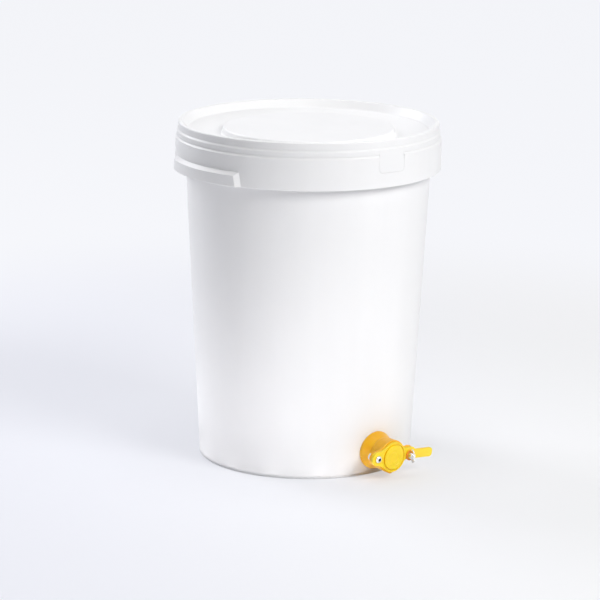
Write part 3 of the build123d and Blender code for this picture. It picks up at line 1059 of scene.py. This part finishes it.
# %% Blade with its raised disc
disc_radius = 16.7
disc_rise = 1.1
disc_back = blade_back + 1.0        # inside the blade
disc_front = blade_front + disc_rise
ring_width = 1.7
ring_depth = 1.7
step_radius = 11.6
step_depth = 0.45
step_slope = 0.6
dimple_radius = 7.0
blade = slab("gate_blade_plate", blade_outline(), blade_back, blade_front)
pivot_hole = bolt_hole_at(pivot_x, blade_back, blade_front, 40)
slot = slab("slot", slot_outline(), blade_back - 2, blade_front + 2)
combine(blade, [pivot_hole, slot], "DIFFERENCE")
tidy_edges(blade, blade_ease, 3)
ring_section = [
    (disc_radius - 2, blade_front - ring_depth),
    (disc_radius + ring_width, blade_front - ring_depth),
    (disc_radius + ring_width + 0.4, blade_front + 1),
    (disc_radius - 2, blade_front + 1),
]
combine(blade, [turn("ring_groove", ring_section, steps=112)], "DIFFERENCE")
disc_section = rounded([
    (0, disc_back, 0),
    (disc_radius, disc_back, 0),
    (disc_radius, disc_front, 0.6),
    (step_radius + step_slope, disc_front, 0.4),
    (step_radius, disc_front - step_depth, 0.4),
    (dimple_radius + step_slope, disc_front - step_depth, 0.4),
    (dimple_radius, disc_front - 2 * step_depth, 0.4),
    (0, disc_front - 2 * step_depth, 0),
], closed=False)
combine(blade, [turn("raised_disc", disc_section, steps=112, closed=False)], "UNION")
on_tap(blade)
settle(blade, "gate", yellow, ["gate_blade"])

# %% [markdown]
# ## Screws, nuts and washers
# The blade turns on a button-head screw with a hexagon socket, held by a washer and a nut behind the ear.
# On the right a hexagon bolt comes through the ear, and a wing nut clamps the blade with a plastic washer
# under it. Heads and hubs are spun, hexagons are drawn flat and their corners turned down, and the bolt
# ends have real threads.

# %% Pivot screw
screw_seat = blade_front + face_gap
head_height = 3.1
screw_top = screw_seat + head_height
head_radius = 4.8
head_crown = 3.2            # radius of the head's flat top
head_side = 1.5
smooth_end = screw_seat - 8.0       # the thread begins below it
bolt_thread = 0.6
bolt_pitch = 1.0
bolt_turns = 7
bolt_core = bolt_radius - bolt_thread
bolt_tail = 1.5             # how far a bolt shows past its nut
pivot_washer_radius = 5.8
pivot_washer_thickness = 1.6
washer_back = plate_back - pivot_washer_thickness
nut_height = 5.0
pivot_tail = washer_back - nut_height - bolt_tail
pivot_screw = turn("gate_pivot_screw", rounded([
    (0, pivot_tail, 0),
    (bolt_core, pivot_tail, 0.5),
    (bolt_core, smooth_end - 0.5, 0.2),
    (bolt_radius, smooth_end, 0.2),
    (bolt_radius, screw_seat, 0),
    (head_radius, screw_seat, 0.3),
    (head_radius, screw_seat + head_side, 1.0),
    (head_crown, screw_top, 1.6),
    (0, screw_top, 0),
], closed=False), steps=48, closed=False)
pivot_ridge = thread("pivot_ridge", bolt_radius, bolt_thread, bolt_pitch, pivot_tail + 0.3, bolt_turns)
combine(pivot_screw, [pivot_ridge], "UNION")
print(pivot_screw.name, round(screw_top - pivot_tail, 1), "mm long")

# %% The screw's socket, in painted shade
socket_flats = 4.0
socket_depth = 2.4
socket_floor = screw_top - socket_depth
socket = slab("socket", hexagon(socket_flats), socket_floor, screw_top + 1)
combine(pivot_screw, [socket], "DIFFERENCE")
on_tap(pivot_screw, pivot_x)
settle(pivot_screw, "tank", steel, ["pivot_screw"])
# The socket's faces take the near-black steel: painted shade of the deep recess.
pivot_screw.data.materials.append(painted_socket_shade)
to_tap = tap_frame.inverted()
for face in pivot_screw.data.polygons:
    spot = to_tap @ face.center / MM
    inside = math.hypot(spot.x - pivot_x, spot.y) < 0.55 * socket_flats
    face.material_index = int(inside and socket_floor - 0.1 < spot.z < screw_top - 0.2)
print("dark faces in the socket:", sum(face.material_index for face in pivot_screw.data.polygons))

# %% Hexagon nut and bolt
nut_flats = 10.0
face_radius = 4.9           # of the flat ring that is left on a nut's face
corner_radius = 5.9
corner_fall = 0.7


def hexagon_head(name, low, high, bore=None):
    """Hexagon with its corners turned down by a cone on both faces."""
    head = slab(name, hexagon(nut_flats), low, high)
    turned_section = [
        (0, low),
        (face_radius, low),
        (corner_radius, low + corner_fall),
        (corner_radius, high - corner_fall),
        (face_radius, high),
        (0, high),
    ]
    cap = turn("turned", turned_section, steps=48, closed=False)
    combine(head, [cap], "INTERSECT")
    if bore:
        combine(head, [disc("bore", bore, low - 1, high + 1, 40)], "DIFFERENCE")
    return head


def washer(name, outer, low, high, ease):
    """Flat ring with eased edges."""
    corners = [(*corner, ease) for corner in ring_points(bolt_hole, outer, low, high)]
    return turn(name, rounded(corners), steps=64)


pivot_nut = hexagon_head("gate_pivot_nut", washer_back - nut_height, washer_back, bolt_hole)
on_tap(pivot_nut, pivot_x)
settle(pivot_nut, "tank", steel, ["pivot_nut"])
pivot_washer = washer("gate_pivot_washer", pivot_washer_radius, washer_back, plate_back, 0.25)
on_tap(pivot_washer, pivot_x)
settle(pivot_washer, "tank", steel, ["pivot_washer"])

# %% Clamp bolt
clamp_low = blade_front + face_gap
clamp_thickness = 1.5
clamp_high = clamp_low + clamp_thickness
hub_height = 5.6
bolt_head = 4.0
bolt_tip = clamp_high + hub_height + bolt_tail
clamp_bolt = hexagon_head("gate_clamp_bolt", plate_back - bolt_head, plate_back)
shank = turn("shank", rounded([
    (0, plate_back - 1, 0),
    (bolt_radius, plate_back - 1, 0),
    (bolt_radius, clamp_low - 1.0, 0),
    (bolt_core, clamp_low - 0.5, 0),
    (bolt_core, bolt_tip, 0.5),
    (0, bolt_tip, 0),
], closed=False), steps=48, closed=False)
combine(clamp_bolt, [shank], "UNION")
bolt_ridge = thread("bolt_ridge", bolt_radius, bolt_thread, bolt_pitch, clamp_low, bolt_turns)
combine(clamp_bolt, [bolt_ridge], "UNION")
on_tap(clamp_bolt, clamp_x)
settle(clamp_bolt, "tank", steel, ["clamp_bolt"])

# %% Clamp washer
clamp_washer_radius = 7.1
clamp_washer = washer("gate_clamp_washer", clamp_washer_radius, clamp_low, clamp_high, 0.45)
on_tap(clamp_washer, clamp_x)
# The washer takes the darker orange copy of the yellow: painted shade under the wing nut.
settle(clamp_washer, "washer", orange, ["clamp_washer"])

# %% Wing nut
hub_base = 4.9
hub_tip = 4.1
wing_half = 1.0             # half a wing's thickness
wing_reach = 9.9
wing_foot = 1.4
wing_root = 4.4
wing_peak = (6.2, 8.6)
wing_ease = 0.4
wing_tilt = 12.0            # degrees that the nut stands turned


def wing(side):
    """One wing: its outline in the plane of the nut's axis, thickened across and turned to its place."""
    outline = rounded([
        (0, wing_foot, 0),
        (hub_base, wing_foot, 0.6),
        (wing_reach, 3.4, 0.8),
        (wing_reach, 4.8, 0.8),
        (*wing_peak, 1.0),
        (hub_tip, wing_root, 0.6),
        (0, wing_root, 0),
    ])
    blank = draw("wing", outline)
    bpy.ops.mesh.edge_face_add()
    bpy.ops.transform.translate(value=(0, -wing_half * MM, 0))
    bpy.ops.mesh.extrude_region_move(TRANSFORM_OT_translate={"value": (0, 2 * wing_half * MM, 0)})
    bpy.ops.mesh.select_all(action="SELECT")
    heading = math.radians(90 * side + wing_tilt)
    bpy.ops.transform.rotate(value=-heading, orient_axis="Z", center_override=(0, 0, 0))
    close_up()
    return tidy_edges(blank, wing_ease, 3)


wing_nut = turn("gate_wing_nut", rounded([
    (0, 0, 0),
    (hub_base, 0, 0.4),
    (hub_tip, hub_height, 0.6),
    (0, hub_height, 0),
], closed=False), steps=56, closed=False)
for side in (-1, 1):
    combine(wing_nut, [wing(side)], "UNION")
combine(wing_nut, [disc("wing_bore", bolt_hole, -1, hub_height + 1, 40)], "DIFFERENCE")
on_tap(wing_nut, clamp_x, clamp_high)
settle(wing_nut, "wing_nut", steel, ["wing_nut"])

# %% [markdown]
# ## Seals
# The four seals are plain rings that hardly show, so the CAD solids stay and get the silicone.

# %% Seals from the CAD model
for name in ("lid_seal", "tap_outer_gasket", "tap_inner_gasket", "gate_seal"):
    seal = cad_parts[name]
    seal.material_slots[0].material = silicone
    print(name, "keeps its CAD shape")

# %% [markdown]
# ## Floor, backdrop and light
# The tank stands on a pale seamless sweep, whose wall is so far back that the tank can be seen from every
# side. A large soft lamp to the right of the camera shapes the wall and throws the long shadow to the
# left. A weaker lamp at the back left lifts the far edge, and one overhead lights the ledges. A pale
# floor throws much light back up, so flat cards of light lie on it round the tank, with a row of small
# ones close to its foot. The world adds only a little fill. What the camera sees of the sweep, straight
# or mirrored in steel, is lifted by a pale glow that lights nothing. Near the tank that glow is bluish grey
# on the left and white on the right: painted shade of the key's falloff and of the tank's shadow side.

# %% Sweep
floor_half = 9000           # the floor reaches so far to every side
curve_radius = 2000
backdrop_height = 5000
far_glow = (0.93, 0.938, 0.975, 1)


def sweep_finish():
    made = Finish("sweep")
    speckle = made.noise(60, 3)
    pale = made.mix(speckle, (0.865, 0.873, 0.905, 1), (0.88, 0.888, 0.915, 1))
    aside = (math.cos(camera_azimuth), math.sin(camera_azimuth), 0)
    dot = {"operation": "DOT_PRODUCT"}
    rightwards = made.node("ShaderNodeVectorMath", dot, {0: made.place, 1: aside}, "Value")
    # Lighter to the right, towards the key: painted falloff of the key's light on the near floor.
    painted_key_falloff = made.between(rightwards, -0.4, 0.45)
    away = made.node("ShaderNodeVectorMath", {"operation": "LENGTH"}, {0: made.place}, "Value")
    far = made.between(away, 0.6, 1.5)
    # Bluish grey on the left, white on the right: painted shade of the tank's shadow side.
    near_glow_painted_shade = made.mix(painted_key_falloff, (0.9, 0.912, 1.0, 1), (1.0, 1.0, 1.0, 1))
    glow_color = made.mix(far, near_glow_painted_shade, far_glow)
    glow = made.node("ShaderNodeEmission", {}, {"Color": glow_color, "Strength": 1.0})
    made.surface(Base_Color=pale, Roughness=0.9)
    lit = Wire(made, made.shader.outputs[0])
    glow_share = (0.52 + 0.44 * far) * made.seen()
    mixed = made.node("ShaderNodeMixShader", {}, {0: glow_share, 1: lit, 2: glow})
    made.feed(made.tree.nodes["Material Output"].inputs["Surface"], mixed)
    return made.material


def sweep():
    """Floor that curves up into a backdrop, drawn as a line and pulled sideways."""
    line = rounded([
        (-floor_half, 0, 0),
        (floor_half, 0, curve_radius),
        (floor_half, backdrop_height, 0),
    ], closed=False)
    piece = draw("sweep", line, closed=False)
    bpy.ops.transform.rotate(value=-math.radians(90), orient_axis="Z", center_override=(0, 0, 0))
    bpy.ops.transform.translate(value=(-floor_half * MM, 0, 0))
    bpy.ops.mesh.extrude_region_move(TRANSFORM_OT_translate={"value": (2 * floor_half * MM, 0, 0)})
    bpy.ops.mesh.select_all(action="SELECT")
    bpy.ops.transform.rotate(value=-camera_azimuth, orient_axis="Z", center_override=(0, 0, 0))
    bpy.ops.object.mode_set(mode="OBJECT")
    bpy.ops.object.shade_smooth()
    piece.data.materials.append(sweep_finish())
    print("floor", [round(side, 1) for side in piece.dimensions], "m")


sweep()

# %% Lamps
wall_middle = (0, 0, 0.22)
straight_up = (0, 0, 100)
card_height = 0.004


def softbox(name, bearing, height, distance, size, power, color, aim=wall_middle):
    """Square lamp that looks at a point, with its bearing counted from the camera towards the right."""
    angle = camera_azimuth + math.radians(bearing)
    place = Vector((math.sin(angle) * distance, -math.cos(angle) * distance, height))
    bpy.ops.object.light_add(type="AREA", location=place)
    lamp = bpy.context.object
    lamp.name = name
    lamp.data.size = size
    lamp.data.energy = power
    lamp.data.color = color
    lamp.rotation_euler = (Vector(aim) - place).to_track_quat("-Z", "Y").to_euler()
    lamp.visible_camera = False


def card(name, bearing, distance, size, power, color):
    """Card of light that lies flat on the floor and faces up."""
    softbox(name, bearing, card_height, distance, size, power, color, straight_up)


# Bearings are in degrees, heights, distances and sizes in metres, and powers in watts.
softbox("key", 46, 1.9, 2.65, 1.3, 62, (1.0, 0.995, 0.985))
softbox("edge", -125, 1.6, 2.4, 1.2, 38, (0.96, 0.965, 1.0))
softbox("top", 0, 2.2, 0.01, 0.8, 13, (1.0, 0.995, 1.0))
card("edge_card", -108, 0.42, 0.4, 0.32, (0.97, 0.97, 1.0))
card("left_card", -40, 0.42, 0.4, 0.49, (1.0, 0.97, 1.0))
card("front_card", 8, 0.5, 0.5, 0.49, (1.0, 0.98, 1.0))
card("tap_card", 84, 0.42, 0.3, 0.16, (1.0, 0.98, 1.0))
for bearing in (-80, -55, -30, -5, 20):
    card(f"foot_card_{bearing}", bearing, 0.182, 0.08, 0.009, (1.0, 0.97, 0.98))
card("near_card_right", 68, 0.25, 0.09, 0.013, (1.0, 0.98, 0.98))


# %% World
class Room(Finish):
    """The world's light, with the same node methods as a finish."""

    def __init__(self, name):
        self.world = bpy.data.worlds.new(name)
        self.world.use_nodes = True
        self.tree = self.world.node_tree


room = Room("pale_room")
fill = room.node("ShaderNodeBackground", {}, {"Color": (0.93, 0.945, 1.0, 1), "Strength": 0.115})
shown = room.node("ShaderNodeBackground", {}, {"Color": far_glow, "Strength": 1.0})
either = room.node("ShaderNodeMixShader", {}, {0: room.seen(), 1: fill, 2: shown})
room.feed(room.tree.nodes["World Output"].inputs["Surface"], either)
scene.world = room.world
print("world:", scene.world.name)
